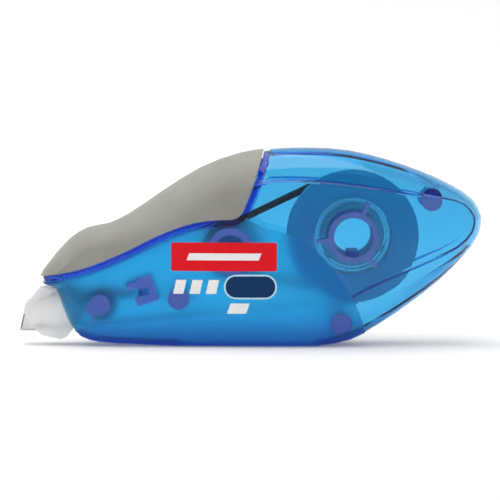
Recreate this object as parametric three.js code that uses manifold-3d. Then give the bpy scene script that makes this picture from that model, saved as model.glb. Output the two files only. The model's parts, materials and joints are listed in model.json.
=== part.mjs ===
// Correction tape roller, in millimetres, +Z up.
// It lies along X with its applicator tip at -X, and stands on its flat underside.
// The labelled side faces -Y, and the two casing halves meet on the plane y = 0.
import * as THREE from 'three';
import { mergeVertices } from 'three/addons/utils/BufferGeometryUtils.js';
import Module from 'manifold-3d';

const wasm = await Module();
wasm.setup();

// ---- Driving dimensions ----
const HALF_THICKNESS = 9.0;   // casing half thickness at the reels
const NOSE_NARROWING = 2.7;   // how much of it is lost towards the nose
const TAIL_NARROWING = 1.5;   // and towards the tail
const WALL = 1.3;             // casing wall
const BURIED = 0.4;           // bosses start this far below its outer face
const PANEL_STEP = 0.35;      // the window lies this much below the front panel
const WINDOW_INSET = 0.14;    // and this much inside it along the silhouette
const SEAM = 0.08;            // each half stops this far from the middle plane
const GAP = 0.3;              // running and resting clearance

const GRIP_THICKNESS = 2.0;
const RECESS = GRIP_THICKNESS + GAP;       // casing surface under the grip
const RECESS_INSIDE = RECESS + 1.2;        // inner face of the wall under the grip
const RECESS_MARGIN = 0.25;                // the recess reaches this far past the grip's edge
const RIM_WIDTH = 1.5;                     // wall that borders the recess
const LIP_WIDTH = 1.1;                     // shallow groove in that wall's outer face
const LIP_DEPTH = 0.5;
const RIDGE_RISE = 0.06;                   // the window's raised edge: share of the depth
const RIDGE_WIDTH = 0.08;                  // and share of the way to the silhouette

const SUPPLY = { x: 22.0, z: 23.7 };       // reel axes
const TAKE_UP = { x: -4.25, z: 20.8 };
const TAPE_HALF_WIDTH = 2.3;
const TAPE_THICKNESS = 0.12;
const ROLL_RADIUS = 14.2;                  // fresh tape on the supply reel
const FILM_RADIUS = 6.3;                   // used film on the take-up reel
const CORE_INNER = 7.2;
const CORE_OUTER = 8.2;
const CORE_HALF_WIDTH = 2.6;
const TAKE_UP_HUB = 5.5;

const BELT_Y = 4.1;                        // middle of the belt's plane
const BELT_SECTION = 0.75;                 // radius of the round belt
const BELT_SUPPLY = 13.2;                  // pitch radii of its two pulleys
const BELT_TAKE_UP = 4.5;
const GROOVE_DEPTH = BELT_SECTION + GAP;
const PULLEY_HALF_WIDTH = 1.4;
const PULLEY_LOW = BELT_Y - PULLEY_HALF_WIDTH;
const PULLEY_HIGH = BELT_Y + PULLEY_HALF_WIDTH;
const RIM_LAND = 0.25;                     // upright and slanted parts of a pulley's rim

// The supply reel, from its front end to the collar behind its pulley.
const SUPPLY_REEL = {
  front: -2.8, drum: 6.5, flangeLip: 0.4, rim: 1.2, web: 3.8, collar: 7.1, collarEnd: 6.3,
};
const LUG = { count: 3, radius: 6.55, thickness: 1.0, length: 5.0, width: 1.6, turn: 0.4 };
const TAKE_UP_REEL = {
  front: -5.6, neck: 3.15, hubFront: -3.2, flange: 9.0, flangeThickness: 0.2, pulleyLip: 0.5,
};

const SUPPLY_AXLE = { inner: 4.2, outer: 5.5, end: -3.1, frontEnd: -3.5 };
const SUPPLY_SEAT = { radius: 7.1, start: 6.6 };
const SUPPLY_KEY = { width: 2.4, height: 0.9 };
const GUSSETS = { angles: [67, 187, 307], root: 4.8, tip: 8.0, thickness: 0.9, end: -4.8 };
const TAKE_UP_AXLE = { radius: 1.8, end: -5.2, seat: 3.2 };
const TAKE_UP_RING = { inner: 3.5, outer: 5.0, end: -4.3 };

const POST = { radius: 2.27, frontEnd: -0.35, rearEnd: 0.05 };
const SOCKET = { radius: 1.45, end: -4.4 };
const PIN = { radius: 1.1, end: -3.9 };
const POSTS = {
  front: { x: -32.3, z: 9.1 },
  guide: { x: -15.4, z: 10.5 },
  rear: { x: 19.4, z: 5.2 },
  tail: { x: 38.7, z: 31.6 },
};

const CHEEK = { inner: 2.6, outer: 3.3 };  // applicator head's side cheeks, from y = 0
const MOUTH_HALF_WIDTH = 3.75;

const PER_STATION = 2;                     // points of the casing's outline per station
const OUTSIDE_STEPS = 5;                   // steps round the casing's outer edge
const INSIDE_STEPS = 3;                    // and round its hollows
const EDGE_SWEEP = 64;                     // degrees of that edge's arc
const FINEST = 0.01;                       // smaller facets left by a cut are dropped
const ROUND = 40;                          // sides of the reels
const SMALL_ROUND = 20;                    // sides of posts and bosses
const BELT_STEPS = 10;                     // bends of the belt round the small pulley
const BELT_SIDES = 8;

// ---- Outlines, as [x, z] ----
// Each station gives a point of the casing's silhouette, the point of the flat side's edge
// that lies inwards of it, and the share of the half thickness that stays upright there.
const STATIONS = [
  [-45.4, 15.0, -41.6, 15.6, 0.2], [-43.4, 18.1, -40.2, 17.0, 0.1],
  [-39.1, 23.0, -37.4, 19.4, 0.1], [-35.2, 25.4, -34.2, 21.0, 0.1],
  [-30.4, 26.4, -29.4, 21.8, 0.1], [-26.1, 28.5, -24.4, 23.4, 0.1],
  [-19.6, 32.9, -16.9, 27.2, 0.1], [-10.9, 38.3, -8.6, 31.4, 0.1],
  [-2.3, 41.5, -1.2, 34.2, 0.1], [4.5, 42.5, 4.6, 35.5, 0.1],
  [12.8, 42.75, 12.2, 35.6, 0.1], [21.0, 42.2, 19.8, 35.0, 0.1],
  [28.8, 40.4, 27.2, 34.0, 0.1], [36.7, 37.7, 34.6, 32.8, 0.1],
  [43.2, 34.8, 41.2, 32.2, 0.1], [48.0, 31.6, 45.6, 30.9, 0.1],
  [49.9, 27.8, 47.9, 28.1, 0.1], [49.3, 23.9, 47.5, 24.8, 0.1],
  [46.4, 19.6, 44.3, 21.5, 0.1], [41.0, 14.0, 38.6, 18.9, 0.1],
  [34.5, 8.9, 31.6, 16.0, 0.1], [28.0, 4.5, 24.8, 13.1, 0.15],
  [21.5, 1.2, 18.8, 9.8, 0.3], [14.0, 0, 12.0, 7.0, 0.5],
  [4.5, 0, 4.0, 6.2, 0.5], [-5.0, 0, -5.0, 6.4, 0.5],
  [-15.0, 0, -14.6, 6.6, 0.5], [-25.0, 0.35, -24.0, 6.8, 0.5],
  [-32.4, 0.8, -31.2, 6.9, 0.5], [-36.5, 2.0, -34.6, 7.3, 0.5],
  [-38.9, 4.9, -36.4, 8.8, 0.5], [-40.5, 8.7, -37.9, 11.0, 0.5],
  [-42.2, 12.6, -39.5, 13.4, 0.4], [-44.6, 13.3, -41.2, 14.7, 0.3],
];
const SPINE = { start: -37, end: 43, height: 20, slope: 0.165 };
const UPRIGHT = [0.1, 0.5];                // least and most of that share
const FLAT_RINGS = [0.85, 0.45];           // rings across the flat side, as shares of the way
const SIDE_SHARE = 0.25;                   // how far the flat side's edge follows an inset

// Lower and rear edge of the grip, from the nose to the crown.
const GRIP_EDGE = [
  [-47.0, 14.7], [-44.0, 15.3], [-39.1, 16.1], [-34.7, 17.3], [-30.4, 19.0], [-26.1, 20.9],
  [-21.8, 23.1], [-17.1, 25.2], [-12.1, 26.8], [-7.1, 27.5], [-3.4, 27.7], [-1.9, 28.8],
  [-0.9, 31.0], [0.1, 33.5], [1.1, 36.4], [2.1, 39.6], [3.1, 43.2], [4.2, 47.0],
];
// Rear edge of the front panel, from the grip's corner to the underside.
const PANEL_EDGE = [
  [-5.3, 31.7], [-1.1, 28.1], [2.6, 26.1], [7.8, 24.6], [12.6, 22.0], [17.0, 17.9], [20.2, 13.6],
  [22.6, 9.0], [24.4, 4.2], [25.4, -1.0],
];
const MOUTH = [
  [-52, 3.4], [-36.6, 3.4], [-34, 4.4], [-34, 16.4], [-38.5, 14.7], [-43, 12.9], [-52, 12.9],
];
const BRACKET = [
  [-26.6, 13.9], [-21.6, 15.7], [-19.5, 10.6], [-23.4, 9.3], [-24.5, 9.7], [-23.9, 12.6],
  [-26.3, 12.8],
];
const BRACKET_HOLE = { x: -22.5, z: 12.1, size: 1.5, tilt: -0.33 };
const BRACKET_END = -1.4;
const NIB = [[-35.9, 7.8], [-33.4, 7.2], [-33.4, 10.2]];
const NIB_ROOM = [[-36.4, 7.3], [-33, 6.4], [-33, 10.7], [-36.4, 8.6]];
const NIB_END = -1.2;

const CHEEK_OUTLINE = [
  [-46.4, 3.5], [-45.1, 2.3], [-40.9, 1.4], [-39.6, 1.9], [-37.6, 4.5], [-35.9, 6.4],
  [-35.9, 11.8], [-38.6, 12.6], [-44.5, 12.6], [-45.6, 12.4], [-46.4, 11.6], [-47.6, 10.0],
  [-48.5, 9.4], [-48.95, 7.4],
];
const BLADE_OUTLINE = [
  [-49.35, 3.75], [-45.4, 3.7], [-40.0, 4.5], [-36.8, 6.9], [-36.8, 9.6], [-40.0, 10.9],
  [-43.4, 10.2], [-48.0, 8.9],
];
const TAPE_EDGE_SLOT = [[-55, 3], [-43, 3], [-43, 4.6], [-55, 4.6]];
const TAPE_EDGE_ROOM = 0.15;
const BLADE_HALF_WIDTH = 2.8;
const STEM = {
  eye: 3.7, halfWidth: 1.9, start: -38, below: 1.6, above: 1.8, bottom: 10.1, top: 12.2, end: -25,
};

const TAPE_HEEL = { x: -45.5, z: 3.25 };
const TAPE_CORNER = { x: -49.7, z: 3.3 };
const TAPE_TOP = { x: -48.35, z: 9.35 };

// ---- Shape helpers ----
const vector = ([x, z]) => new THREE.Vector2(x, z);

function toSolid(geometry) {
  const bare = geometry.clone();
  bare.deleteAttribute('normal');
  bare.deleteAttribute('uv');
  const merged = mergeVertices(bare, 1e-3);
  const vertProperties = new Float32Array(merged.attributes.position.array);
  const triVerts = new Uint32Array(merged.index.array);
  return new wasm.Manifold(new wasm.Mesh({ numProp: 3, vertProperties, triVerts }));
}

function toGeometry(solid) {
  const mesh = solid.getMesh();
  const geometry = new THREE.BufferGeometry();
  geometry.setAttribute('position', new THREE.BufferAttribute(mesh.vertProperties, 3));
  geometry.setIndex(new THREE.BufferAttribute(mesh.triVerts, 1));
  return geometry;
}

// The main body of a solid, without the slivers and hair-thin facets that a cut may leave.
function mainBody(solid) {
  const bodies = toSolid(toGeometry(solid.simplify(FINEST))).decompose();
  return bodies.reduce((best, body) => (body.volume() > best.volume() ? body : best));
}

// A prism whose outline lies in the XZ plane, from y = low to y = high.
function prism(points, low, high, holes = []) {
  const shape = new THREE.Shape(points.map(vector));
  shape.holes = holes.map((hole) => new THREE.Path(hole.map(vector)));
  const geometry = new THREE.ExtrudeGeometry(shape, { depth: high - low, bevelEnabled: false });
  return geometry.rotateX(Math.PI / 2).translate(0, high, 0);
}

// A turned piece about a line parallel to Y, from a closed profile of [radius, y].
function turned(profile, centre, sides = ROUND) {
  const points = [...profile, profile[0]].map(vector);
  return new THREE.LatheGeometry(points, sides).translate(centre.x, 0, centre.z);
}

const ring = (inner, outer, low, high, centre, sides) =>
  turned([[inner, low], [outer, low], [outer, high], [inner, high]], centre, sides);

function pin(radius, low, high, centre, sides = SMALL_ROUND) {
  const cylinder = new THREE.CylinderGeometry(radius, radius, high - low, sides);
  return cylinder.translate(centre.x, (low + high) / 2, centre.z);
}

function smooth(points, steps) {
  const curve = new THREE.CatmullRomCurve3(points.map(([x, z]) => new THREE.Vector3(x, 0, z)));
  return curve.getPoints(steps).map((point) => [point.x, point.z]);
}

// The same path moved sideways, to the right of its direction.
function shifted(points, distance) {
  return points.map((point, index) => {
    const before = points[Math.max(index - 1, 0)];
    const after = points[Math.min(index + 1, points.length - 1)];
    const run = new THREE.Vector2(after[0] - before[0], after[1] - before[1]).normalize();
    return [point[0] + run.y * distance, point[1] - run.x * distance];
  });
}

// ---- Casing body ----
function halfThickness(x) {
  const towardsNose = THREE.MathUtils.smoothstep(-x, -6, 44);
  const towardsTail = THREE.MathUtils.smoothstep(x, 24, 56);
  return HALF_THICKNESS - NOSE_NARROWING * towardsNose - TAIL_NARROWING * towardsTail;
}

// From the silhouette (0) to the edge of the flat side (1): [share of the way, share of depth].
// A ridge lifts the flat side's edge steeply out of the bevel.
function edgeProfile(steps, ridge) {
  const sweep = THREE.MathUtils.degToRad(EDGE_SWEEP);
  const [wayShare, depthShare] = ridge ? [1 - RIDGE_WIDTH, 1 - RIDGE_RISE] : [1, 1];
  const profile = Array.from({ length: steps + 1 }, (_, index) => {
    const angle = (sweep * index) / steps;
    const way = (1 - Math.cos(angle)) / (1 - Math.cos(sweep));
    return [way * wayShare, (Math.sin(angle) / Math.sin(sweep)) * depthShare];
  });
  return ridge ? [...profile, [1, 1]] : profile;
}

// The whole casing as one solid, drawn in by an inset on every side.
function casingBody(inset, sideInset = inset, profileSteps = INSIDE_STEPS, ridge = false) {
  const outline = new THREE.CatmullRomCurve3(
    STATIONS.map(([x, z, , , upright]) => new THREE.Vector3(x, upright, z)), true);
  const sideEdge = new THREE.CatmullRomCurve3(
    STATIONS.map(([, , x, z]) => new THREE.Vector3(x, 0, z)), true);
  const count = STATIONS.length * PER_STATION;
  const columns = Array.from({ length: count }, (_, index) => {
    const edge = outline.getPoint(index / count);
    const side = sideEdge.getPoint(index / count);
    const upright = THREE.MathUtils.clamp(edge.y, ...UPRIGHT);
    edge.setY(0);
    edge.z = Math.max(edge.z, 0);
    const reach = side.clone().sub(edge);
    const length = reach.length();
    reach.normalize();
    edge.addScaledVector(reach, length * (1 - Math.exp(-inset / length)));
    side.addScaledVector(reach, SIDE_SHARE * inset);
    const spineX = THREE.MathUtils.clamp(side.x, SPINE.start, SPINE.end);
    const spine = new THREE.Vector3(spineX, 0, SPINE.height + SPINE.slope * spineX);
    return { edge, side, spine, upright };
  });

  const depthAt = (x) => halfThickness(x) - sideInset;
  const place = (from, to, share, depthShare) => {
    const point = from.clone().lerp(to, share);
    point.y = -depthAt(point.x) * depthShare;
    return point;
  };
  const rings = FLAT_RINGS.map((share) =>
    columns.map(({ side, spine }) => place(side, spine, share, 1)));
  for (const [share, rise] of edgeProfile(profileSteps, ridge).reverse()) {
    rings.push(columns.map(({ edge, side, upright }) =>
      place(edge, side, share, upright + (1 - upright) * rise)));
  }
  const mirrored = rings.map((points) => points.map(({ x, y, z }) => new THREE.Vector3(x, -y, z)));
  return toSolid(closedLoft([...rings, ...mirrored.reverse()]));
}

// A closed skin over a row of matching rings, each end closed by the strip inside its ring.
function closedLoft(rings) {
  const count = rings[0].length;
  const index = [];
  for (let level = 0; level + 1 < rings.length; level += 1) {
    for (let step = 0; step < count; step += 1) {
      const a = level * count + step;
      const b = level * count + ((step + 1) % count);
      index.push(a, b, a + count, b, b + count, a + count);
    }
  }
  const last = (rings.length - 1) * count;
  for (const [a, b, c] of zippedStrip(rings[0])) {
    index.push(a, b, c);
    index.push(last + a, last + c, last + b);
  }
  const geometry = new THREE.BufferGeometry().setFromPoints(rings.flat());
  geometry.setIndex(index);
  return geometry;
}

// Triangles across a long ring, from its lowest x to its highest, so that each stays short.
function zippedStrip(points) {
  const count = points.length;
  const nose = points.reduce((best, { x }, index) => (x < points[best].x ? index : best), 0);
  let above = (nose + 1) % count;
  let below = (nose + count - 1) % count;
  const triangles = [[nose, below, above]];
  while (triangles.length < count - 2) {
    const nextAbove = (above + 1) % count;
    const nextBelow = (below + count - 1) % count;
    if (points[nextAbove].x < points[nextBelow].x) {
      triangles.push([nextAbove, above, below]);
      above = nextAbove;
    } else {
      triangles.push([below, nextBelow, above]);
      below = nextBelow;
    }
  }
  return triangles;
}

// ---- Regions that cut the casing ----
const TALL = [-20, 20];
const gripEdge = smooth(GRIP_EDGE, 40);
const aboveGripEdge = (clearance) =>
  toSolid(prism([...shifted(gripEdge, clearance), [-60, 50], [-60, 10]].reverse(), ...TALL));
const windowZone = toSolid(prism([...smooth(PANEL_EDGE, 24), [60, -3], [60, 50], [5, 50]], ...TALL));
const mouth = toSolid(prism(MOUTH, -MOUTH_HALF_WIDTH, MOUTH_HALF_WIDTH));
const frontHalf = toSolid(prism([[-60, -5], [60, -5], [60, 50], [-60, 50]], -20, -SEAM));
const rearHalf = toSolid(prism([[-60, -5], [60, -5], [60, 50], [-60, 50]], SEAM, 20));

const gripZone = aboveGripEdge(0);
const recessZone = aboveGripEdge(RECESS_MARGIN);
const lipZone = aboveGripEdge(RECESS_MARGIN + LIP_WIDTH);
const recessInsideZone = aboveGripEdge(RECESS_MARGIN + RIM_WIDTH);
const fullBody = casingBody(0, 0, OUTSIDE_STEPS);

// The hollow two-part casing before it is parted: outer skin, grip recess, cavity and mouth.
function casingSkin() {
  const window = casingBody(WINDOW_INSET, PANEL_STEP, OUTSIDE_STEPS, true);
  const lip = lipZone.subtract(casingBody(LIP_DEPTH));
  const outside = fullBody.subtract(windowZone).add(window).subtract(lip).subtract(recessZone);
  const underGrip = casingBody(RECESS);
  const cavity = casingBody(WALL, WALL + PANEL_STEP).subtract(recessInsideZone);
  const cavityUnderGrip = casingBody(RECESS_INSIDE);
  return outside.add(underGrip).subtract(cavity).subtract(cavityUnderGrip).subtract(mouth);
}

// ---- Casing halves ----
// The part of a boss's footing that would stand out of the casing is trimmed away.
const insideSkin = casingBody(BURIED, BURIED + PANEL_STEP);

function gussets() {
  const { angles, root, tip, thickness, end } = GUSSETS;
  return angles.map((degrees) => {
    const rib = new THREE.BoxGeometry(tip - root, end + HALF_THICKNESS, thickness);
    rib.translate((tip + root) / 2, (end - HALF_THICKNESS) / 2, 0);
    rib.rotateY(-THREE.MathUtils.degToRad(degrees));
    return toSolid(rib.translate(SUPPLY.x, 0, SUPPLY.z));
  });
}

function bracket() {
  const { x, z, size, tilt } = BRACKET_HOLE;
  const hole = new THREE.BoxGeometry(size, HALF_THICKNESS, size).rotateY(-tilt);
  hole.translate(x, -HALF_THICKNESS / 2, z);
  return toSolid(prism(BRACKET, -HALF_THICKNESS, BRACKET_END)).subtract(toSolid(hole));
}

// The key that runs along the bottom of the supply reel's hollow axle.
function axleKey() {
  const { inner, end } = SUPPLY_AXLE;
  const { width, height } = SUPPLY_KEY;
  const length = HALF_THICKNESS - end;
  const key = new THREE.BoxGeometry(width, length, 2 * height);
  return toSolid(key.translate(SUPPLY.x, end + length / 2, SUPPLY.z - inner));
}

function frontShell(skin) {
  const { inner, outer, frontEnd } = SUPPLY_AXLE;
  const supplyRing = ring(inner, outer, -HALF_THICKNESS, frontEnd, SUPPLY);
  const takeUpRing = ring(TAKE_UP_RING.inner, TAKE_UP_RING.outer, -HALF_THICKNESS,
    TAKE_UP_RING.end, TAKE_UP);
  let bosses = toSolid(supplyRing).add(toSolid(takeUpRing)).add(bracket());
  bosses = bosses.add(toSolid(prism(NIB, -HALF_THICKNESS, NIB_END)));
  for (const rib of gussets()) bosses = bosses.add(rib);
  for (const place of Object.values(POSTS)) {
    bosses = bosses.add(toSolid(pin(POST.radius, -HALF_THICKNESS, POST.frontEnd, place)));
  }
  for (const place of Object.values(POSTS)) {
    bosses = bosses.subtract(toSolid(pin(SOCKET.radius, SOCKET.end, 1, place)));
  }
  return skin.intersect(frontHalf).add(bosses.intersect(insideSkin));
}

function rearShell(skin) {
  const { inner, outer, end } = SUPPLY_AXLE;
  const tube = toSolid(ring(inner, outer, end, HALF_THICKNESS, SUPPLY));
  const axle = toSolid(pin(TAKE_UP_AXLE.radius, TAKE_UP_AXLE.end, HALF_THICKNESS, TAKE_UP));
  const supplySeat = ring(inner, SUPPLY_SEAT.radius, SUPPLY_SEAT.start, HALF_THICKNESS, SUPPLY);
  const takeUpSeat = pin(TAKE_UP_AXLE.seat, PULLEY_HIGH + GAP, HALF_THICKNESS, TAKE_UP);
  let bosses = tube.add(axleKey()).add(axle).add(toSolid(supplySeat)).add(toSolid(takeUpSeat));
  for (const place of Object.values(POSTS)) {
    bosses = bosses.add(toSolid(pin(POST.radius, POST.rearEnd, HALF_THICKNESS, place)));
    bosses = bosses.add(toSolid(pin(PIN.radius, PIN.end, 1, place)));
  }
  const front = bosses.intersect(frontHalf);
  const rear = bosses.subtract(frontHalf).intersect(insideSkin);
  return skin.intersect(rearHalf).add(rear).add(front);
}

// ---- Soft grip ----
function gripPad(half) {
  const under = casingBody(GRIP_THICKNESS);
  return fullBody.subtract(under).intersect(gripZone).intersect(half);
}

// ---- Applicator head ----
// Two cheeks guide the tape's edges, the blade presses it down, and the stem holds the head
// on the casing's front post and in its bracket.
function applicatorHead() {
  const side = HALF_THICKNESS;
  const slot = prism(TAPE_EDGE_SLOT, -side, -TAPE_HALF_WIDTH - TAPE_EDGE_ROOM);
  let head = toSolid(prism(BLADE_OUTLINE, -BLADE_HALF_WIDTH, BLADE_HALF_WIDTH));
  head = head.subtract(toSolid(slot));
  head = head.add(toSolid(prism(CHEEK_OUTLINE, -CHEEK.outer, -CHEEK.inner)));
  head = head.add(toSolid(prism(CHEEK_OUTLINE, CHEEK.inner, CHEEK.outer)));
  const { eye, halfWidth, start, below, above, bottom, top, end } = STEM;
  const { x, z } = POSTS.front;
  const stem = [[start, z - below], [x, z - below], [x, bottom], [end, bottom], [end, top],
    [x, top], [x, z + above], [start, z + above]];
  head = head.add(toSolid(prism(stem, -halfWidth, halfWidth)));
  head = head.add(toSolid(pin(eye, -halfWidth, halfWidth, POSTS.front, ROUND)));
  head = head.subtract(toSolid(pin(POST.radius + GAP, -side, side, POSTS.front)));
  return head.subtract(toSolid(prism(NIB_ROOM, -side, side)));
}

// ---- Reels ----
function pulleyRim(radius, groove) {
  const [low, high] = [PULLEY_LOW + RIM_LAND, PULLEY_HIGH - RIM_LAND];
  return [[radius, PULLEY_LOW], [radius, low], [groove, low + RIM_LAND],
    [groove, high - RIM_LAND], [radius, high], [radius, PULLEY_HIGH]];
}

function supplyReel() {
  const { front, drum, flangeLip, rim, web, collar, collarEnd } = SUPPLY_REEL;
  const bore = SUPPLY_AXLE.outer + GAP;
  const groove = BELT_SUPPLY - GROOVE_DEPTH;
  const profile = [[bore, front], [drum, front], [drum, PULLEY_LOW],
    ...pulleyRim(BELT_SUPPLY + flangeLip, groove),
    [groove - rim, PULLEY_HIGH], [groove - rim, web], [collar, web], [collar, collarEnd],
    [bore, collarEnd]];
  let reel = toSolid(turned(profile, SUPPLY));
  for (let lug = 0; lug < LUG.count; lug += 1) {
    const key = new THREE.BoxGeometry(LUG.thickness, LUG.length, LUG.width);
    key.translate(LUG.radius, front + 0.2 + LUG.length / 2, 0);
    key.rotateY((lug * 2 * Math.PI) / LUG.count + LUG.turn).translate(SUPPLY.x, 0, SUPPLY.z);
    reel = reel.add(toSolid(key));
  }
  return reel;
}

function takeUpReel() {
  const { front, neck, hubFront, flange, flangeThickness, pulleyLip } = TAKE_UP_REEL;
  const bore = TAKE_UP_AXLE.radius + GAP;
  const flangeLow = PULLEY_LOW - flangeThickness;
  const profile = [[bore, front], [neck, front], [neck, hubFront], [TAKE_UP_HUB, hubFront],
    [TAKE_UP_HUB, flangeLow], [flange, flangeLow], [flange, PULLEY_LOW + RIM_LAND],
    ...pulleyRim(BELT_TAKE_UP + pulleyLip, BELT_TAKE_UP - GROOVE_DEPTH).slice(1),
    [bore, PULLEY_HIGH]];
  return turned(profile, TAKE_UP);
}

// ---- Belt ----
// A round rubber belt: two arcs on the pulleys and two straight runs between them.
function beltGeometry() {
  const across = { x: TAKE_UP.x - SUPPLY.x, z: TAKE_UP.z - SUPPLY.z };
  const heading = Math.atan2(across.z, across.x);
  const half = Math.acos((BELT_SUPPLY - BELT_TAKE_UP) / Math.hypot(across.x, across.z));
  const stops = [];
  const arc = (centre, radius, from, to, steps) => {
    for (let step = 0; step <= steps; step += 1) {
      stops.push({ centre, radius, angle: from + ((to - from) * step) / steps });
    }
  };
  arc(SUPPLY, BELT_SUPPLY, heading + half, heading + 2 * Math.PI - half, 2 * BELT_STEPS);
  arc(TAKE_UP, BELT_TAKE_UP, heading - half, heading + half, BELT_STEPS);
  const sides = BELT_SIDES;
  const points = stops.flatMap(({ centre, radius, angle }) =>
    Array.from({ length: sides }, (_, side) => {
      const turn = (2 * Math.PI * side) / sides;
      const out = radius + BELT_SECTION * Math.cos(turn);
      return new THREE.Vector3(centre.x + out * Math.cos(angle),
        BELT_Y + BELT_SECTION * Math.sin(turn), centre.z + out * Math.sin(angle));
    }));
  const index = [];
  for (let stop = 0; stop < stops.length; stop += 1) {
    for (let side = 0; side < sides; side += 1) {
      const next = (stop + 1) % stops.length;
      const beside = (side + 1) % sides;
      const [a, b] = [stop * sides + side, stop * sides + beside];
      const [c, d] = [next * sides + side, next * sides + beside];
      index.push(a, b, c, b, d, c);
    }
  }
  return new THREE.BufferGeometry().setFromPoints(points).setIndex(index);
}

// ---- Tape ----
// Where a line from a point touches a circle, on the side given by the sign.
function tangentPoint(from, centre, radius, sign) {
  const [dx, dz] = [centre.x - from.x, centre.z - from.z];
  const angle = Math.atan2(dz, dx) + sign * Math.asin(radius / Math.hypot(dx, dz));
  const length = Math.sqrt(dx * dx + dz * dz - radius * radius);
  return { x: from.x + length * Math.cos(angle), z: from.z + length * Math.sin(angle) };
}

// A thin ribbon, as wide as the tape, that follows a path of places in the XZ plane.
function ribbon(path) {
  const points = path.map(({ x, z }) => [x, z]);
  const outline = [...shifted(points, TAPE_THICKNESS / 2),
    ...shifted(points, -TAPE_THICKNESS / 2).reverse()];
  return prism(outline, -TAPE_HALF_WIDTH, TAPE_HALF_WIDTH);
}

// The ribbon keeps a straight piece of this share before and after each sharp turn.
const TURN_SHARE = 0.04;
const between = (from, to, share) => ({
  x: THREE.MathUtils.lerp(from.x, to.x, share),
  z: THREE.MathUtils.lerp(from.z, to.z, share),
});

function freshTape() {
  const start = tangentPoint(TAPE_HEEL, SUPPLY, ROLL_RADIUS + GAP, -1);
  const beforeHeel = between(start, TAPE_HEEL, 1 - TURN_SHARE);
  const end = between(TAPE_HEEL, TAPE_CORNER, 1 - TURN_SHARE);
  return ribbon([start, beforeHeel, TAPE_HEEL, end]);
}

function usedFilm() {
  const end = tangentPoint(TAPE_TOP, TAKE_UP, FILM_RADIUS + GAP, 1);
  const start = between(TAPE_CORNER, TAPE_TOP, 0.01);
  const beforeTop = between(TAPE_CORNER, TAPE_TOP, 1 - TURN_SHARE);
  return ribbon([start, beforeTop, TAPE_TOP, between(TAPE_TOP, end, TURN_SHARE), end]);
}

// ---- Assembly ----
const PLASTICS = {
  blueClear: { color: 0x2fa4dc, roughness: 0.15, transparent: true, opacity: 0.45 },
  grip: { color: 0xa7a59d, roughness: 0.75 },
  white: { color: 0xe8e8e6, roughness: 0.4 },
  natural: { color: 0xdfe6e8, roughness: 0.4 },
  tape: { color: 0xf4f4f0, roughness: 0.7 },
  film: { color: 0x6d7073, roughness: 0.3 },
  belt: { color: 0x16181a, roughness: 0.7 },
};

const roller = new THREE.Group();

const wound = (inner, outer, centre) =>
  ring(inner, outer, -TAPE_HALF_WIDTH, TAPE_HALF_WIDTH, centre);

function piece(name, shape, plastic) {
  const geometry = shape.isBufferGeometry ? shape : toGeometry(mainBody(shape));
  const mesh = new THREE.Mesh(geometry, new THREE.MeshStandardMaterial(PLASTICS[plastic]));
  mesh.name = name;
  roller.add(mesh);
}

const skin = casingSkin();
piece('front_shell', frontShell(skin), 'blueClear');
piece('rear_shell', rearShell(skin), 'blueClear');
piece('grip_front', gripPad(frontHalf), 'grip');
piece('grip_rear', gripPad(rearHalf), 'grip');
piece('applicator_head', applicatorHead(), 'white');
piece('supply_reel', supplyReel(), 'natural');
const core = ring(CORE_INNER, CORE_OUTER, -CORE_HALF_WIDTH, CORE_HALF_WIDTH, SUPPLY);
piece('tape_core', core, 'white');
piece('tape_roll', wound(CORE_OUTER + TAPE_THICKNESS, ROLL_RADIUS, SUPPLY), 'tape');
piece('take_up_reel', takeUpReel(), 'natural');
piece('used_film_roll', wound(TAKE_UP_HUB + TAPE_THICKNESS, FILM_RADIUS, TAKE_UP), 'film');
piece('drive_belt', beltGeometry(), 'belt');
piece('fresh_tape', freshTape(), 'tape');
piece('used_film', usedFilm(), 'film');

export default roller;
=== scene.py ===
"""Correction tape roller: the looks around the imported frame. Metres, +Z up, label towards -Y."""

import json
import math

import bmesh
import bpy
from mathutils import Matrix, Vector
from mathutils.bvhtree import BVHTree


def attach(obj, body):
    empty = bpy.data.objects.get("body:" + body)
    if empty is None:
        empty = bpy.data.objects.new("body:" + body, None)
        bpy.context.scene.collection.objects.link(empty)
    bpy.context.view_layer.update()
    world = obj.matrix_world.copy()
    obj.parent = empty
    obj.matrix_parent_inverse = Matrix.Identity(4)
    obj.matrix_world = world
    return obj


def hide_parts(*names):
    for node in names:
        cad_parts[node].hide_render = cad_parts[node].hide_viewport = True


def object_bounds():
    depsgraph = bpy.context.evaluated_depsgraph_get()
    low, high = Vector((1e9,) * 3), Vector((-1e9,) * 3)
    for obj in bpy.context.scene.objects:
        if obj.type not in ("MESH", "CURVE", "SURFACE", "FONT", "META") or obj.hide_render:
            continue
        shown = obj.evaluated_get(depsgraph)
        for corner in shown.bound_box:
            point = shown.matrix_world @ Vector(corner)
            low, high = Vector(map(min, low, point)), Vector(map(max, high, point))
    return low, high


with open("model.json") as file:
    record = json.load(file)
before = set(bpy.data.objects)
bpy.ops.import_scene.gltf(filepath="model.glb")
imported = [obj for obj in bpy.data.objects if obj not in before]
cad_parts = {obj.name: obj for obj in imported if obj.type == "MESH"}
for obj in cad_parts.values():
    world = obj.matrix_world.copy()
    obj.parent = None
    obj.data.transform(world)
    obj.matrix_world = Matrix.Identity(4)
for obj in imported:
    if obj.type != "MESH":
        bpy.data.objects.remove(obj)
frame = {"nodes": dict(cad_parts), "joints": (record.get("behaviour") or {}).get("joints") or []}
cad_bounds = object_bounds()

MM = 0.001
LOW, HIGH = (Vector(corner) for corner in cad_bounds)
JOINT_PLACE = {joint["name"]: Vector(joint["pos_m"]) for joint in frame["joints"]}
SUPPLY_AXIS = JOINT_PLACE["supply_spin"]
TAKE_UP_AXIS = JOINT_PLACE["take_up_spin"]
FRONT, REAR = -1, 1                         # the casing halves' sides along Y

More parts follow.
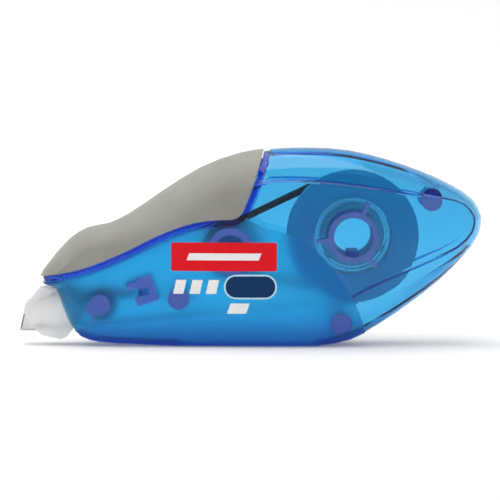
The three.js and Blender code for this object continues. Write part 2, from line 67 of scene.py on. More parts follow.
# ---- Camera and lights: driving values ----
VIEW_DISTANCE = 0.6
VIEW_ELEVATION = math.radians(4.5)
VIEW_WIDTH = 1.0865 * (HIGH.x - LOW.x)      # width of the picture at the middle plane
VIEW_CENTRE = Vector((-0.1 * MM, 0, LOW.z + 0.48 * (HIGH.z - LOW.z)))
SENSOR_WIDTH = 36                           # millimetres, as Blender's camera takes it
LIT_POINT = Vector((0, 0, 0.02))            # where the lights point

# ---- Floor and backdrop: driving values ----
FLOOR_HALF_WIDTH = 2.5
FLOOR_FRONT = -2.5
FLOOR_BACK = 0.5                            # where the floor starts to rise
SWEEP_RADIUS = 0.35
SWEEP_STEPS = 8
BACKDROP_TOP = 1.6

# ---- Casing: driving values ----
BLUE_ABSORPTION = (1150.0, 260.0, 12.0)     # what 1 m of the plastic takes off in red, green, blue
FROST = "frost"                             # 1 on the frosted front panels, 0 on clear plastic
BOSS = "boss"                               # 1 on posts, ribs and bosses
SHADE_RIM = "rim"                                 # 1 in the grip's groove and beside the window, which are painted dark as shade
SOFT_EDGE = 0.25 * MM                       # blur of a boss's root seen through the frost
PARTING_BLUR = 0.01 * MM
TINTED_DEPTH = (7.5 * MM, 7.6 * MM)         # the clear window is tinted further out than this
BOSS_DEPTH = 7.2 * MM                       # faces of a boss have their middle less far out
WINDOW_TINT = 0.5                           # how strongly a root tints the clear window,
PANEL_TINT = 0.8                            # and the frosted panel,
BOSS_TINT = 0.65                            # and how strongly a boss's own faces are tinted
SHADED_BAND_TOP = 8 * MM                           # the panels' deeper colour, painted shade along the bottom, ends at this height

# Bosses of the CAD: a place is (x, z) on the flat side, and angles are turned from X to Z.
POST_RADIUS = 2.27 * MM
POST_PLACES = [(x * MM, z * MM) for x, z in
               ((-32.3, 9.1), (-15.4, 10.5), (19.4, 5.2), (38.7, 31.6))]
*PANEL_POSTS, TAIL_POST = POST_PLACES
SUPPLY_RING = (5.5 * MM, 4.2 * MM)          # outer and inner radius
TAKE_UP_RING = (5.0 * MM, 3.5 * MM)
TAKE_UP_SEAT = 3.2 * MM
RIB_MIDDLE = 6.5 * MM                       # from the supply reel's axis
RIB_HALF_SIZE = (1.5 * MM, 0.45 * MM)
RIB_ANGLES = [math.radians(degrees) for degrees in (67, 187, 307)]

# Turned rectangles that make up the head's bracket: centre, half size and tilt.
BRACKET_TILT = 0.34
BRACKET_BARS = [((-24.2 * MM, 13.6 * MM), (2.4 * MM, 0.75 * MM), BRACKET_TILT),
                ((-21.9 * MM, 12.6 * MM), (1.5 * MM, 2.9 * MM), BRACKET_TILT),
                ((-22.9 * MM, 10.3 * MM), (1.6 * MM, 1.0 * MM), BRACKET_TILT)]
BRACKET_HOLE = ((-22.5 * MM, 12.1 * MM), (0.75 * MM, 0.75 * MM), 0.33)
NIB = ((-34.5 * MM, 8.2 * MM), (0.9 * MM, 0.9 * MM), 0.7)

# Discs that hold the faces of each boss: centre and radius. The first holds a post and the nib.
BOSS_AREAS = [((-32.6 * MM, 9.0 * MM), 4.2 * MM),
              (POST_PLACES[1], 2.6 * MM),
              (POST_PLACES[2], 2.6 * MM),
              (TAIL_POST, 2.7 * MM),
              ((-23.0 * MM, 12.3 * MM), 5.2 * MM),
              (SUPPLY_AXIS.xz, 8.3 * MM),
              (TAKE_UP_AXIS.xz, 5.9 * MM)]

# ---- Meshes: driving values ----
CREASE = 30                                 # degrees: sharper edges stay sharp
CASING_CREASE = 21
BELT_CREASE = 60
PANEL_FOLD = 40                             # degrees: the sharpest edge inside a panel,
WINDOW_FOLD = 15                            # and inside the clear window,
RIM_FOLD = 10                               # and inside the rim beside it
ANY_FOLD = 180
RAY_START = 0.05                            # outside the object on both sides
NATURAL_IOR = 1.1                           # of the reels' and the core's clear plastic

# ---- Print: driving values ----
PRINT_LIFT = 0.004 * MM                     # between an ink and what it lies on
PRINT_DEPTH = 0.008 * MM
PRINT_CUT = 1.0 * MM                        # width of the strips that follow the panel's bend
PILL_EDGE = 0.35 * MM


# ---- Shader nodes ----
def new_material(name):
    material = bpy.data.materials.new(name)
    material.use_nodes = True
    nodes = material.node_tree.nodes
    shader = nodes["Principled BSDF"]
    return material, nodes, material.node_tree.links, shader


def object_place(nodes):
    """The surface's place in the object's own frame."""
    return nodes.new("ShaderNodeTexCoord").outputs["Object"]


def position(nodes, links, axis):
    """One coordinate of the surface, in the object's own frame."""
    parts = nodes.new("ShaderNodeSeparateXYZ")
    links.new(object_place(nodes), parts.inputs[0])
    return parts.outputs[axis]


def distance_from(nodes, links, x, z):
    """The distance from a line parallel to Y."""
    flat = nodes.new("ShaderNodeVectorMath")
    flat.operation = "MULTIPLY_ADD"
    flat.inputs[1].default_value = (1, 0, 1)
    flat.inputs[2].default_value = (-x, 0, -z)
    links.new(object_place(nodes), flat.inputs[0])
    length = nodes.new("ShaderNodeVectorMath")
    length.operation = "LENGTH"
    links.new(flat.outputs["Vector"], length.inputs[0])
    return length.outputs["Value"]


def face_value(nodes, name):
    """A value that is stored on the mesh's faces."""
    attribute = nodes.new("ShaderNodeAttribute")
    attribute.attribute_name = name
    return attribute.outputs["Fac"]


def noise(nodes, links, scale, detail=3.0):
    """A noise value whose scale is in waves per metre of the object."""
    texture = nodes.new("ShaderNodeTexNoise")
    texture.inputs["Scale"].default_value = scale
    texture.inputs["Detail"].default_value = detail
    links.new(object_place(nodes), texture.inputs["Vector"])
    return texture.outputs["Fac"]


def absolute(nodes, links, value):
    node = nodes.new("ShaderNodeMath")
    node.operation = "ABSOLUTE"
    links.new(value, node.inputs[0])
    return node.outputs[0]


def combined(nodes, links, operation, *values):
    """Values joined one after another by a maths operation."""
    result = values[0]
    for value in values[1:]:
        node = nodes.new("ShaderNodeMath")
        node.operation = operation
        links.new(result, node.inputs[0])
        links.new(value, node.inputs[1])
        result = node.outputs[0]
    return result


def spread(nodes, links, value, source, target, smooth=False):
    """A value's range (low, high) mapped to another one."""
    node = nodes.new("ShaderNodeMapRange")
    node.interpolation_type = "SMOOTHSTEP" if smooth else "LINEAR"
    node.inputs["From Min"].default_value, node.inputs["From Max"].default_value = source
    node.inputs["To Min"].default_value, node.inputs["To Max"].default_value = target
    links.new(value, node.inputs["Value"])
    return node.outputs["Result"]


def noise_spread(nodes, links, value, low, high):
    """A noise value, which mostly keeps to 0.3 to 0.7, mapped to low to high."""
    return spread(nodes, links, value, (0.3, 0.7), (low, high))


def two_tone(nodes, links, share, first, second):
    """Two colours mixed. The first may also be another node's output."""
    mix = nodes.new("ShaderNodeMix")
    mix.data_type = "RGBA"
    links.new(share, mix.inputs["Factor"])
    if isinstance(first, tuple):
        mix.inputs["A"].default_value = (*first, 1)
    else:
        links.new(first, mix.inputs["A"])
    mix.inputs["B"].default_value = (*second, 1)
    return mix.outputs["Result"]


def bump(nodes, links, shader, height, depth):
    """Bump whose depth is in metres."""
    node = nodes.new("ShaderNodeBump")
    node.inputs["Strength"].default_value = 1.0
    node.inputs["Distance"].default_value = depth
    links.new(height, node.inputs["Height"])
    links.new(node.outputs["Normal"], shader.inputs["Normal"])


# ---- Camera, lights and stage ----
def add_object(name, data):
    holder = bpy.data.objects.new(name, data)
    bpy.context.collection.objects.link(holder)
    return holder


def add_camera():
    camera = bpy.data.cameras.new("camera")
    camera.sensor_width = SENSOR_WIDTH
    camera.lens = SENSOR_WIDTH * VIEW_DISTANCE / VIEW_WIDTH
    camera.clip_start = 0.01
    holder = add_object("camera", camera)
    back = Vector((0, -math.cos(VIEW_ELEVATION), math.sin(VIEW_ELEVATION)))
    holder.location = VIEW_CENTRE + VIEW_DISTANCE * back
    holder.rotation_euler = (math.pi / 2 - VIEW_ELEVATION, 0, 0)
    bpy.context.scene.camera = holder


def add_area(name, place, size, watts):
    """A soft rectangular light that faces the object."""
    light = bpy.data.lights.new(name, "AREA")
    light.shape = "RECTANGLE"
    light.size, light.size_y = size
    light.energy = watts
    holder = add_object(name, light)
    holder.location = place
    holder.rotation_euler = (LIT_POINT - Vector(place)).to_track_quat("-Z", "Y").to_euler()


def add_world():
    """A white room, dimmer on the camera's side."""
    world = bpy.data.worlds.new("studio")
    world.use_nodes = True
    nodes, links = world.node_tree.nodes, world.node_tree.links
    direction = nodes.new("ShaderNodeTexCoord").outputs["Generated"]
    parts = nodes.new("ShaderNodeSeparateXYZ")
    links.new(direction, parts.inputs[0])
    light = spread(nodes, links, parts.outputs["Y"], (-0.8, 0.45), (0.15, 0.9), True)
    links.new(light, nodes["Background"].inputs["Strength"])
    nodes["Background"].inputs["Color"].default_value = (1, 1, 1, 1)
    bpy.context.scene.world = world


def floor_material():
    """White sweep that glows a little behind the object and fades to grey far in front."""
    material, nodes, links, shader = new_material("floor")
    far = spread(nodes, links, position(nodes, links, "Y"), (-0.42, -0.22), (0, 1), True)
    links.new(two_tone(nodes, links, far, (0.5, 0.5, 0.5), (0.82, 0.82, 0.82)),
              shader.inputs["Base Color"])
    shader.inputs["Roughness"].default_value = 0.9
    shader.inputs["Emission Color"].default_value = (1, 1, 1, 1)
    glow = spread(nodes, links, position(nodes, links, "Y"), (-0.3, 0.35), (0.0, 0.36), True)
    links.new(glow, shader.inputs["Emission Strength"])
    return material


def add_floor():
    """A pale floor that sweeps up into a backdrop."""
    profile = [(y, 0.0) for y in (FLOOR_FRONT, -1.0, 0.0, FLOOR_BACK)]
    for step in range(1, SWEEP_STEPS + 1):
        angle = step * math.pi / 2 / SWEEP_STEPS
        profile.append((FLOOR_BACK + SWEEP_RADIUS * math.sin(angle),
                        SWEEP_RADIUS * (1 - math.cos(angle))))
    profile.append((FLOOR_BACK + SWEEP_RADIUS, BACKDROP_TOP))
    points = [(x, y, z) for y, z in profile for x in (-FLOOR_HALF_WIDTH, FLOOR_HALF_WIDTH)]
    faces = [(2 * i, 2 * i + 1, 2 * i + 3, 2 * i + 2) for i in range(len(profile) - 1)]
    mesh = bpy.data.meshes.new("floor")
    mesh.from_pydata(points, [], faces)
    for polygon in mesh.polygons:
        polygon.use_smooth = True
    mesh.materials.append(floor_material())
    floor = add_object("floor", mesh)


# ---- Casing's tints and painted shade ----
def spot_mask(nodes, links, centre, radius, inner=0.0):
    """1 inside a disc or ring on the flat side, fading over its edge."""
    away = distance_from(nodes, links, *centre)
    mask = spread(nodes, links, away, (radius - SOFT_EDGE, radius + SOFT_EDGE), (1, 0), True)
    if inner:
        hole = spread(nodes, links, away, (inner - SOFT_EDGE, inner + SOFT_EDGE), (0, 1), True)
        mask = combined(nodes, links, "MULTIPLY", mask, hole)
    return mask


def bar_mask(nodes, links, centre, half_size, tilt):
    """1 inside a turned rectangle on the flat side, fading over its edge."""
    turned = nodes.new("ShaderNodeMapping")
    turned.vector_type = "TEXTURE"
    turned.inputs["Location"].default_value = (centre[0], 0, centre[1])
    turned.inputs["Rotation"].default_value = (0, -tilt, 0)
    links.new(object_place(nodes), turned.inputs["Vector"])
    parts = nodes.new("ShaderNodeSeparateXYZ")
    links.new(turned.outputs["Vector"], parts.inputs[0])
    sides = []
    for axis, half in zip("XZ", half_size):
        away = absolute(nodes, links, parts.outputs[axis])
        edge = (half - SOFT_EDGE, half + SOFT_EDGE)
        sides.append(spread(nodes, links, away, edge, (1, 0), True))
    return combined(nodes, links, "MULTIPLY", *sides)


def half_mask(nodes, links, side):
    """1 on the casing half of one side, and 0 on the other."""
    target = (1, 0) if side == FRONT else (0, 1)
    depth = position(nodes, links, "Y")
    return spread(nodes, links, depth, (-PARTING_BLUR, PARTING_BLUR), target)


def any_within(nodes, links, limit, *masks):
    """Any of the masks, as far as one more mask allows it."""
    return combined(nodes, links, "MULTIPLY", combined(nodes, links, "MAXIMUM", *masks), limit)


def window_roots(nodes, links):
    """How much the bosses behind the clear window tint its outer face."""
    ribs = []
    for angle in RIB_ANGLES:
        centre = (SUPPLY_AXIS.x + RIB_MIDDLE * math.cos(angle),
                  SUPPLY_AXIS.z + RIB_MIDDLE * math.sin(angle))
        ribs.append(bar_mask(nodes, links, centre, RIB_HALF_SIZE, angle))
    masks = [spot_mask(nodes, links, SUPPLY_AXIS.xz, *SUPPLY_RING),
             any_within(nodes, links, half_mask(nodes, links, FRONT), *ribs),
             spot_mask(nodes, links, TAIL_POST, POST_RADIUS)]
    depth = absolute(nodes, links, position(nodes, links, "Y"))
    outer = spread(nodes, links, depth, TINTED_DEPTH, (0, WINDOW_TINT))
    return any_within(nodes, links, outer, *masks)


def panel_roots(nodes, links, frost):
    """How much the bosses that touch the frosted panels tint them."""
    posts = [spot_mask(nodes, links, place, POST_RADIUS) for place in PANEL_POSTS]
    ring = spot_mask(nodes, links, TAKE_UP_AXIS.xz, *TAKE_UP_RING)
    bracket = [bar_mask(nodes, links, *bar) for bar in BRACKET_BARS]
    around_hole = spread(nodes, links, bar_mask(nodes, links, *BRACKET_HOLE), (0, 1), (1, 0))
    holed = any_within(nodes, links, around_hole, *bracket)
    nib = bar_mask(nodes, links, *NIB)
    seat = spot_mask(nodes, links, TAKE_UP_AXIS.xz, TAKE_UP_SEAT)
    front = any_within(nodes, links, half_mask(nodes, links, FRONT), ring, holed, nib)
    rear = any_within(nodes, links, half_mask(nodes, links, REAR), seat)
    roots = any_within(nodes, links, frost, *posts, front, rear)
    return spread(nodes, links, roots, (0, 1), (0, PANEL_TINT))


def panel_colour(nodes, links, frost):
    """Pale where clear, greener where frosted, with painted shade: deeper along the bottom and
    dark in the rims.
    """
    # Painted shade: the frosted panels are painted darker towards the bottom edge.
    height = spread(nodes, links, position(nodes, links, "Z"), (0, SHADED_BAND_TOP), (1, 0), True)
    low = combined(nodes, links, "MULTIPLY", frost, height)
    tint = two_tone(nodes, links, frost, (0.93, 0.88, 0.87), (0.49, 0.98, 0.9))
    shaded_bottom = two_tone(nodes, links, low, tint, (0.30, 0.56, 0.74))
    # Painted shade: the rims under the grip and beside the window are painted dark blue.
    return two_tone(nodes, links, face_value(nodes, SHADE_RIM), shaded_bottom, (0.04, 0.12, 0.5))


def absorption(nodes):
    """The volume that colours the plastic by its depth."""
    volume = nodes.new("ShaderNodeVolumeAbsorption")
    density = max(BLUE_ABSORPTION)
    passed = [1 - taken / density for taken in BLUE_ABSORPTION]
    volume.inputs["Color"].default_value = (*passed, 1)
    volume.inputs["Density"].default_value = density
    return volume.outputs["Volume"]


def casing_material():
    """Clear blue plastic, frosted on the front panels, tinted where bosses touch it, with painted
    shade along the bottom and in the rims.
    """
    material, nodes, links, shader = new_material("casing_blue")
    frost = face_value(nodes, FROST)
    links.new(panel_colour(nodes, links, frost), shader.inputs["Base Color"])
    links.new(spread(nodes, links, frost, (0, 1), (0.04, 0.65)), shader.inputs["Roughness"])
    shader.inputs["Transmission Weight"].default_value = 1.0
    shader.inputs["IOR"].default_value = 1.4
    shader.inputs["Sheen Weight"].default_value = 0.5
    shader.inputs["Sheen Roughness"].default_value = 0.35
    shader.inputs["Sheen Tint"].default_value = (0.8, 0.9, 1, 1)
    bump(nodes, links, shader, noise(nodes, links, 220.0, 2.0), 0.02 * MM)

    boss = nodes.new("ShaderNodeBsdfDiffuse")
    links.new(two_tone(nodes, links, frost, (0.16, 0.30, 0.76), (0.10, 0.17, 0.56)),
              boss.inputs["Color"])
    inner = spread(nodes, links, face_value(nodes, BOSS), (0, 1), (0, BOSS_TINT))
    share = combined(nodes, links, "MAXIMUM", panel_roots(nodes, links, frost),
                     window_roots(nodes, links), inner)
    mix = nodes.new("ShaderNodeMixShader")
    links.new(share, mix.inputs["Fac"])
    links.new(shader.outputs["BSDF"], mix.inputs[1])
    links.new(boss.outputs["BSDF"], mix.inputs[2])
    output = nodes["Material Output"]
    links.new(mix.outputs["Shader"], output.inputs["Surface"])
    links.new(absorption(nodes), output.inputs["Volume"])
    return material


# ---- Other materials ----
def grip_material():
    """Warm grey soft-touch rubber with a fine moulded grain."""
    material, nodes, links, shader = new_material("grip_rubber")
    cloud = noise_spread(nodes, links, noise(nodes, links, 90.0), 0, 1)
    links.new(two_tone(nodes, links, cloud, (0.27, 0.265, 0.235), (0.33, 0.325, 0.295)),
              shader.inputs["Base Color"])
    links.new(noise_spread(nodes, links, noise(nodes, links, 300.0), 0.5, 0.62),
              shader.inputs["Roughness"])
    shader.inputs["Sheen Weight"].default_value = 0.25
    shader.inputs["Sheen Roughness"].default_value = 0.5
    bump(nodes, links, shader, noise(nodes, links, 3500.0, 2.0), 0.03 * MM)
    return material


def moulded_material(name, dark, light, roughness, milky=0.0):
    """Moulded plastic with a faint flow pattern and fine gloss variation."""
    material, nodes, links, shader = new_material(name)
    cloud = noise_spread(nodes, links, noise(nodes, links, 130.0), 0, 1)
    links.new(two_tone(nodes, links, cloud, dark, light), shader.inputs["Base Color"])
    gloss = noise(nodes, links, 500.0)
    links.new(noise_spread(nodes, links, gloss, roughness * 0.85, roughness * 1.2),
              shader.inputs["Roughness"])
    shader.inputs["Subsurface Weight"].default_value = milky
    shader.inputs["Subsurface Radius"].default_value = (5 * MM, 5 * MM, 5 * MM)
    shader.inputs["Subsurface Scale"].default_value = 1.0
    bump(nodes, links, shader, noise(nodes, links, 900.0, 2.0), 0.01 * MM)
    return material


def natural_material(name, dark, light, roughness, transmission):
    """Clear or milky moulded plastic, which lets most of the light through."""
    material = moulded_material(name, dark, light, roughness)
    shader = material.node_tree.nodes["Principled BSDF"]
    shader.inputs["Transmission Weight"].default_value = transmission
    shader.inputs["IOR"].default_value = NATURAL_IOR
    return material


def wound_material(name, axis, dark, light, pitch):
    """Wound tape: fine rings round an axis parallel to Y, on its flat sides."""
    material, nodes, links, shader = new_material(name)
    rings = nodes.new("ShaderNodeTexNoise")
    rings.noise_dimensions = "1D"
    rings.inputs["Scale"].default_value = 1 / pitch
    rings.inputs["Detail"].default_value = 4.0
    links.new(distance_from(nodes, links, *axis.xz), rings.inputs["W"])
    turns = noise_spread(nodes, links, rings.outputs["Fac"], 0, 1)
    links.new(two_tone(nodes, links, turns, dark, light), shader.inputs["Base Color"])
    shader.inputs["Roughness"].default_value = 0.55
    bump(nodes, links, shader, rings.outputs["Fac"], 0.04 * MM)
    return material


def grained_material(name, grain_scale, dark, light, roughness, bump_scale, bump_depth):
    """A matt or shiny surface with a fine grain in its colour and its relief."""
    material, nodes, links, shader = new_material(name)
    grain = noise_spread(nodes, links, noise(nodes, links, grain_scale), 0, 1)
    links.new(two_tone(nodes, links, grain, dark, light), shader.inputs["Base Color"])
    shader.inputs["Roughness"].default_value = roughness
    bump(nodes, links, shader, noise(nodes, links, bump_scale, 2.0), bump_depth)
    return material


def film_material():
    """The tape's dark, shiny carrier film."""
    return grained_material("carrier_film", 260.0, (0.16, 0.16, 0.17), (0.24, 0.24, 0.25), 0.25,
                            400.0, 0.01 * MM)


def coating_material():
    """The dry white correction coating, thin enough to let some light through."""
    material = grained_material("white_coating", 1500.0, (0.86, 0.87, 0.87), (0.94, 0.95, 0.95),
                                0.75, 4000.0, 0.01 * MM)
    material.node_tree.nodes["Principled BSDF"].inputs["Alpha"].default_value = 0.5
    return material


def belt_material():
    """Black rubber."""
    return grained_material("belt_rubber", 1200.0, (0.012, 0.012, 0.014), (0.03, 0.03, 0.033),
                            0.6, 2500.0, 0.02 * MM)


def ink_material(name, colour):
    """Printed ink: a nearly even colour with a slightly uneven gloss."""
    material, nodes, links, shader = new_material(name)
    darker = tuple(0.93 * channel for channel in colour)
    cover = noise_spread(nodes, links, noise(nodes, links, 700.0), 0, 1)
    links.new(two_tone(nodes, links, cover, darker, colour), shader.inputs["Base Color"])
    links.new(noise_spread(nodes, links, noise(nodes, links, 1500.0), 0.4, 0.52),
              shader.inputs["Roughness"])
    shader.inputs["Specular IOR Level"].default_value = 0.2
    return material


# ---- Meshes from CAD nodes ----
def shape_of(node):
    """A CAD node's shape, in the object's own frame."""
    source = frame["nodes"][node]
    shape = bmesh.new()
    shape.from_mesh(source.data)
    shape.transform(source.matrix_world)
    return shape


def surface_of(node):
    """A CAD node's surface, to cast rays at."""
    shape = shape_of(node)
    surface = BVHTree.FromBMesh(shape)
    shape.free()
    return surface


def copy_of(node):
    """A new piece that starts from a CAD node's shape and stands for it."""
    shape = shape_of(node)
    bmesh.ops.remove_doubles(shape, verts=shape.verts, dist=0.002 * MM)
    bmesh.ops.dissolve_degenerate(shape, edges=shape.edges, dist=0.001 * MM)
    mesh = bpy.data.meshes.new(node + "_look")
    shape.to_mesh(mesh)
    shape.free()
    return add_object(node + "_look", mesh)


def shade(piece, crease_degrees=CREASE):
    """Smooth shading, with edges sharper than an angle kept."""
    shape = bmesh.new()
    shape.from_mesh(piece.data)
    limit = math.radians(crease_degrees)
    for edge in shape.edges:
        edge.smooth = len(edge.link_faces) == 2 and edge.calc_face_angle(0) < limit
    for face in shape.faces:
        face.smooth = True
    shape.to_mesh(piece.data)
    shape.free()


def weighted(piece):
    """Lets large faces decide how the shading runs over small ones."""
    modifier = piece.modifiers.new("weighted", "WEIGHTED_NORMAL")
    modifier.mode = "FACE_AREA"
    modifier.keep_sharp = True


def rounded_edges(piece, width):
    """Joins the flat faces' triangles and rounds the edges between them."""
    shape = bmesh.new()
    shape.from_mesh(piece.data)
    bmesh.ops.dissolve_limit(shape, angle_limit=math.radians(1), verts=shape.verts,
                             edges=shape.edges)
    shape.to_mesh(piece.data)
    shape.free()
    modifier = piece.modifiers.new("rounded", "BEVEL")
    modifier.width = width
    modifier.segments = 2
    modifier.limit_method = "ANGLE"
    modifier.angle_limit = math.radians(35)
    modifier.harden_normals = True


def settle(piece, body, node, slot, *materials):
    """Gives a piece its materials and its body, and hides the CAD node it stands for; the slot is
    not used.
    """
    for material in materials:
        piece.data.materials.append(material)
    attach(piece, body)
    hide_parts(node)


# ---- Casing ----
def flood(start, limit_degrees):
    """The faces that smooth edges join to a first face."""
    limit = math.radians(limit_degrees)
    found = {start}
    waiting = [start]
    while waiting:
        face = waiting.pop()
        for edge in face.edges:
            if len(edge.link_faces) != 2 or edge.calc_face_angle(0) > limit:
                continue
            for other in edge.link_faces:
                if other not in found:
                    found.add(other)
                    waiting.append(other)
    return found


def neighbours(faces, limit_degrees):
    """The faces across a set's edges, where the fold is less than a limit."""
    limit = math.radians(limit_degrees)
    return {other for face in faces for edge in face.edges
            if edge.calc_face_angle(0) < limit for other in edge.link_faces}


def lowest_hit(surface, x):
    """The lowest point of a surface's front at one x, to a tenth of a millimetre."""
    z = LOW.z
    hit = None
    while hit is None:
        z += 0.1 * MM
        hit = surface.ray_cast(Vector((x, -RAY_START, z)), Vector((0, 1, 0)))[0]
    return hit


def panel_faces(shape, tree, side):
    """The frosted panel's outer faces, and the inner faces of its wall."""
    inwards = Vector((0, -side, 0))
    below_label = TAKE_UP_AXIS + Vector((0, side * RAY_START, -8 * MM))
    outside = tree.ray_cast(below_label, inwards)
    inside = tree.ray_cast(outside[0] + 0.5 * MM * inwards, inwards)
    return flood(shape.faces[outside[2]], PANEL_FOLD), flood(shape.faces[inside[2]], PANEL_FOLD)


def shade_rim_faces(shape, tree, side):
    """The groove under the grip, and the border of the clear window, which are painted dark as
    shade.
    """
    inwards = Vector((0, -side, 0))
    grip_edge = lowest_hit(surface_of("grip_front"), TAKE_UP_AXIS.x - 10 * MM)
    under_grip = Vector((grip_edge.x, side * RAY_START, grip_edge.z - 0.8 * MM))
    groove = flood(shape.faces[tree.ray_cast(under_grip, inwards)[2]], PANEL_FOLD)
    above_hub = SUPPLY_AXIS + Vector((0, side * RAY_START, 9 * MM))
    window = flood(shape.faces[tree.ray_cast(above_hub, inwards)[2]], WINDOW_FOLD)
    beside = neighbours(window, ANY_FOLD) - window
    return groove, (beside | neighbours(beside, RIM_FOLD)) - window


def is_boss(face):
    """Whether a face lies inside the casing and in the disc of a boss."""
    if abs(face.calc_center_median().y) >= BOSS_DEPTH:
        return False
    return any(all((vert.co.xz - Vector(centre)).length < radius for vert in face.verts)
               for centre, radius in BOSS_AREAS)


def mark_faces(piece, side):
    """Writes which faces are frosted, which belong to bosses and which to the rims that are
    painted dark as shade.
    """
    shape = bmesh.new()
    shape.from_mesh(piece.data)
    shape.normal_update()
    shape.faces.ensure_lookup_table()
    tree = BVHTree.FromBMesh(shape)
    panel, wall = panel_faces(shape, tree, side)
    groove, border = shade_rim_faces(shape, tree, side)
    bosses = {face for face in shape.faces if is_boss(face)} - wall
    marks = {SHADE_RIM: (groove - panel) | border, FROST: panel, BOSS: bosses}
    values = {name: [float(face in marked) for face in shape.faces]
              for name, marked in marks.items()}
    shape.free()
    for name, value in values.items():
        attribute = piece.data.attributes.new(name, "FLOAT", "FACE")
        attribute.data.foreach_set("value", value)


def add_casing():
    blue = casing_material()
    for node, side in (("front_shell", FRONT), ("rear_shell", REAR)):
        shell = copy_of(node)
        mark_faces(shell, side)
        shade(shell, CASING_CREASE)
        weighted(shell)
        settle(shell, "casing", node, "casing", blue)


def add_grips():
    rubber = grip_material()
    for node in ("grip_front", "grip_rear"):
        grip = copy_of(node)
        shade(grip)
        weighted(grip)
        settle(grip, "casing", node, "grip", rubber)


# ---- Mechanism ----
def add_head():
    white = moulded_material("head_white", (0.91, 0.91, 0.90), (0.95, 0.95, 0.95), 0.35, 0.8)
    head = copy_of("applicator_head")
    rounded_edges(head, 0.12 * MM)
    shade(head)
    settle(head, "casing", "applicator_head", "white_plastic", white)


def add_reels():
    clear = natural_material("natural_plastic", (0.86, 0.95, 0.98), (0.93, 0.98, 1.0), 0.15, 0.95)
    for node, body in (("supply_reel", "supply"), ("take_up_reel", "take_up")):
        reel = copy_of(node)
        shade(reel)
        weighted(reel)
        settle(reel, body, node, "reel_plastic", clear)


def add_core():
    # Painted light: the white core's pale blue stands for the blue light that reaches it through
    # the casing.
    milky = natural_material("core_milky_blue_lit", (0.72, 0.90, 0.97), (0.80, 0.95, 1.0), 0.3, 0.8)
    core = copy_of("tape_core")
    shade(core)
    settle(core, "supply", "tape_core", "white_plastic", milky)


def add_wound_tape():
    # Painted light: the white tape's bright blue stands for the blue light that reaches it through
    # the casing.
    tape = wound_material("blue_lit_wound_tape", SUPPLY_AXIS, (0.12, 0.70, 0.95), (0.18, 0.78, 1.0),
                          0.35 * MM)
    film = wound_material("wound_film", TAKE_UP_AXIS, (0.50, 0.68, 0.80), (0.60, 0.78, 0.90),
                          0.3 * MM)
    for node, body, slot, look in (("tape_roll", "supply", "tape", tape),
                                   ("used_film_roll", "take_up", "film", film)):
        roll = copy_of(node)
        shade(roll)
        settle(roll, body, node, slot, look)


def add_tape_runs():
    """The fresh tape is coated on its broad sides; the used film is bare."""
    film = film_material()
    fresh = copy_of("fresh_tape")
    settle(fresh, "casing", "fresh_tape", "tape", coating_material(), film)
    for polygon in fresh.data.polygons:
        faces_sideways = abs(polygon.normal.y) > 0.5
        polygon.material_index = int(faces_sideways)
    used = copy_of("used_film")
    settle(used, "casing", "used_film", "film", film)


def add_belt():
    belt = copy_of("drive_belt")
    shade(belt, BELT_CREASE)
    settle(belt, "casing", "drive_belt", "belt", belt_material())


# ---- Print ----
def rounded_outline(low, high, radius, steps=6):
    """A rectangle with round corners, as (x, z) points."""
    points = []
    corners = ((high[0] - radius, high[1] - radius), (low[0] + radius, high[1] - radius),
               (low[0] + radius, low[1] + radius), (high[0] - radius, low[1] + radius))
    for quarter, (x, z) in enumerate(corners):
        for step in range(steps + 1):
            angle = (quarter + step / steps) * math.pi / 2
            points.append((x + radius * math.cos(angle), z + radius * math.sin(angle)))
    return points


def slanted(low, high, lean):
    """A parallelogram that leans right by the given amount, as (x, z) points."""
    return [(low[0], low[1]), (high[0] - lean, low[1]), (high[0], high[1]),
            (low[0] + lean, high[1])]


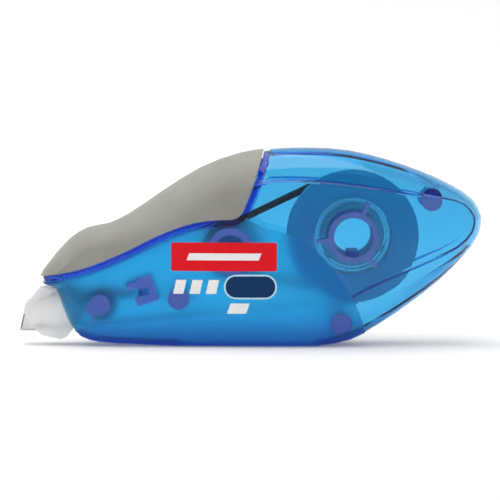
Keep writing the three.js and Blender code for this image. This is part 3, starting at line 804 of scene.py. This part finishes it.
def print_patch(name, outline, ink, surface, layer=0):
    """A thin printed shape that lies on the front panel, or on a lower layer of ink."""
    shape = bmesh.new()
    shape.faces.new([shape.verts.new((x, 0, z)) for x, z in outline])
    low = min(x for x, _ in outline)
    high = max(x for x, _ in outline)
    cuts = int((high - low) / PRINT_CUT)
    for cut in range(1, cuts):
        where = Vector((low + (high - low) * cut / cuts, 0, 0))
        geometry = shape.verts[:] + shape.edges[:] + shape.faces[:]
        bmesh.ops.bisect_plane(shape, geom=geometry, plane_co=where, plane_no=(1, 0, 0))
    lift = PRINT_LIFT + layer * (PRINT_DEPTH + PRINT_LIFT)
    for vert in shape.verts:
        hit = surface.ray_cast(Vector((vert.co.x, -RAY_START, vert.co.z)), Vector((0, 1, 0)))
        vert.co.y = hit[0].y - lift
    bmesh.ops.triangulate(shape, faces=shape.faces[:])
    for face in shape.faces:
        face.normal_update()
        if face.normal.y > 0:
            face.normal_flip()
    mesh = bpy.data.meshes.new(name)
    shape.to_mesh(mesh)
    shape.free()
    mesh.materials.append(ink)
    patch = add_object(name, mesh)
    thickness = patch.modifiers.new("ink", "SOLIDIFY")
    thickness.thickness = PRINT_DEPTH
    thickness.offset = 1.0
    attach(patch, "casing")


def add_print():
    """Plain shapes in the places of the maker's print, with no lettering."""
    surface = surface_of("front_shell")
    red = ink_material("ink_red", (0.86, 0.004, 0.014))
    navy = ink_material("ink_navy", (0.0, 0.035, 0.13))
    pale = ink_material("ink_pale", (0.6, 0.86, 1.0))
    white = ink_material("ink_white", (0.97, 0.97, 0.97))

    def spot(x, z):
        """A place on the label, in millimetres from the take-up reel's axis."""
        return (TAKE_UP_AXIS.x + x * MM, TAKE_UP_AXIS.z + z * MM)

    block = rounded_outline(spot(-12.7, -4.2), spot(9.9, 1.9), 0.5 * MM)
    print_patch("print_block", block, red, surface)
    stripe = slanted(spot(-9.4, -1.9), spot(6.6, -0.4), 0.6 * MM)
    print_patch("print_stripe", stripe, white, surface, 1)

    low, high = spot(-1.4, -10.2), spot(9.9, -4.95)
    radius = (high[1] - low[1]) / 2
    edge = rounded_outline(low, high, 0.98 * radius, 10)
    print_patch("print_pill_edge", edge, pale, surface)
    low = (low[0] + PILL_EDGE, low[1] + PILL_EDGE)
    high = (high[0] - PILL_EDGE, high[1] - PILL_EDGE)
    pill = rounded_outline(low, high, 0.97 * (radius - PILL_EDGE), 10)
    print_patch("print_pill", pill, navy, surface, 1)

    mark = slanted(spot(-0.8, -13.3), spot(4.1, -11.1), 0.8 * MM)
    print_patch("print_tape_mark", mark, white, surface)
    for bar in range(3):
        start = -12.3 + 3.5 * bar
        outline = slanted(spot(start, -9.1), spot(start + 2.9, -6.1), 0.7 * MM)
        print_patch(f"print_bar_{bar + 1}", outline, white, surface)


# ---- The scene ----
bpy.context.scene.view_settings.view_transform = "Standard"
add_camera()
add_world()
add_floor()
add_area("overhead", (-0.15, -0.08, 0.8), (0.8, 0.6), 4.6)
add_area("fill", (-0.25, -0.5, 0.45), (0.5, 0.35), 0.85)
add_casing()
add_grips()
add_head()
add_reels()
add_core()
add_wound_tape()
add_tape_runs()
add_belt()
add_print()
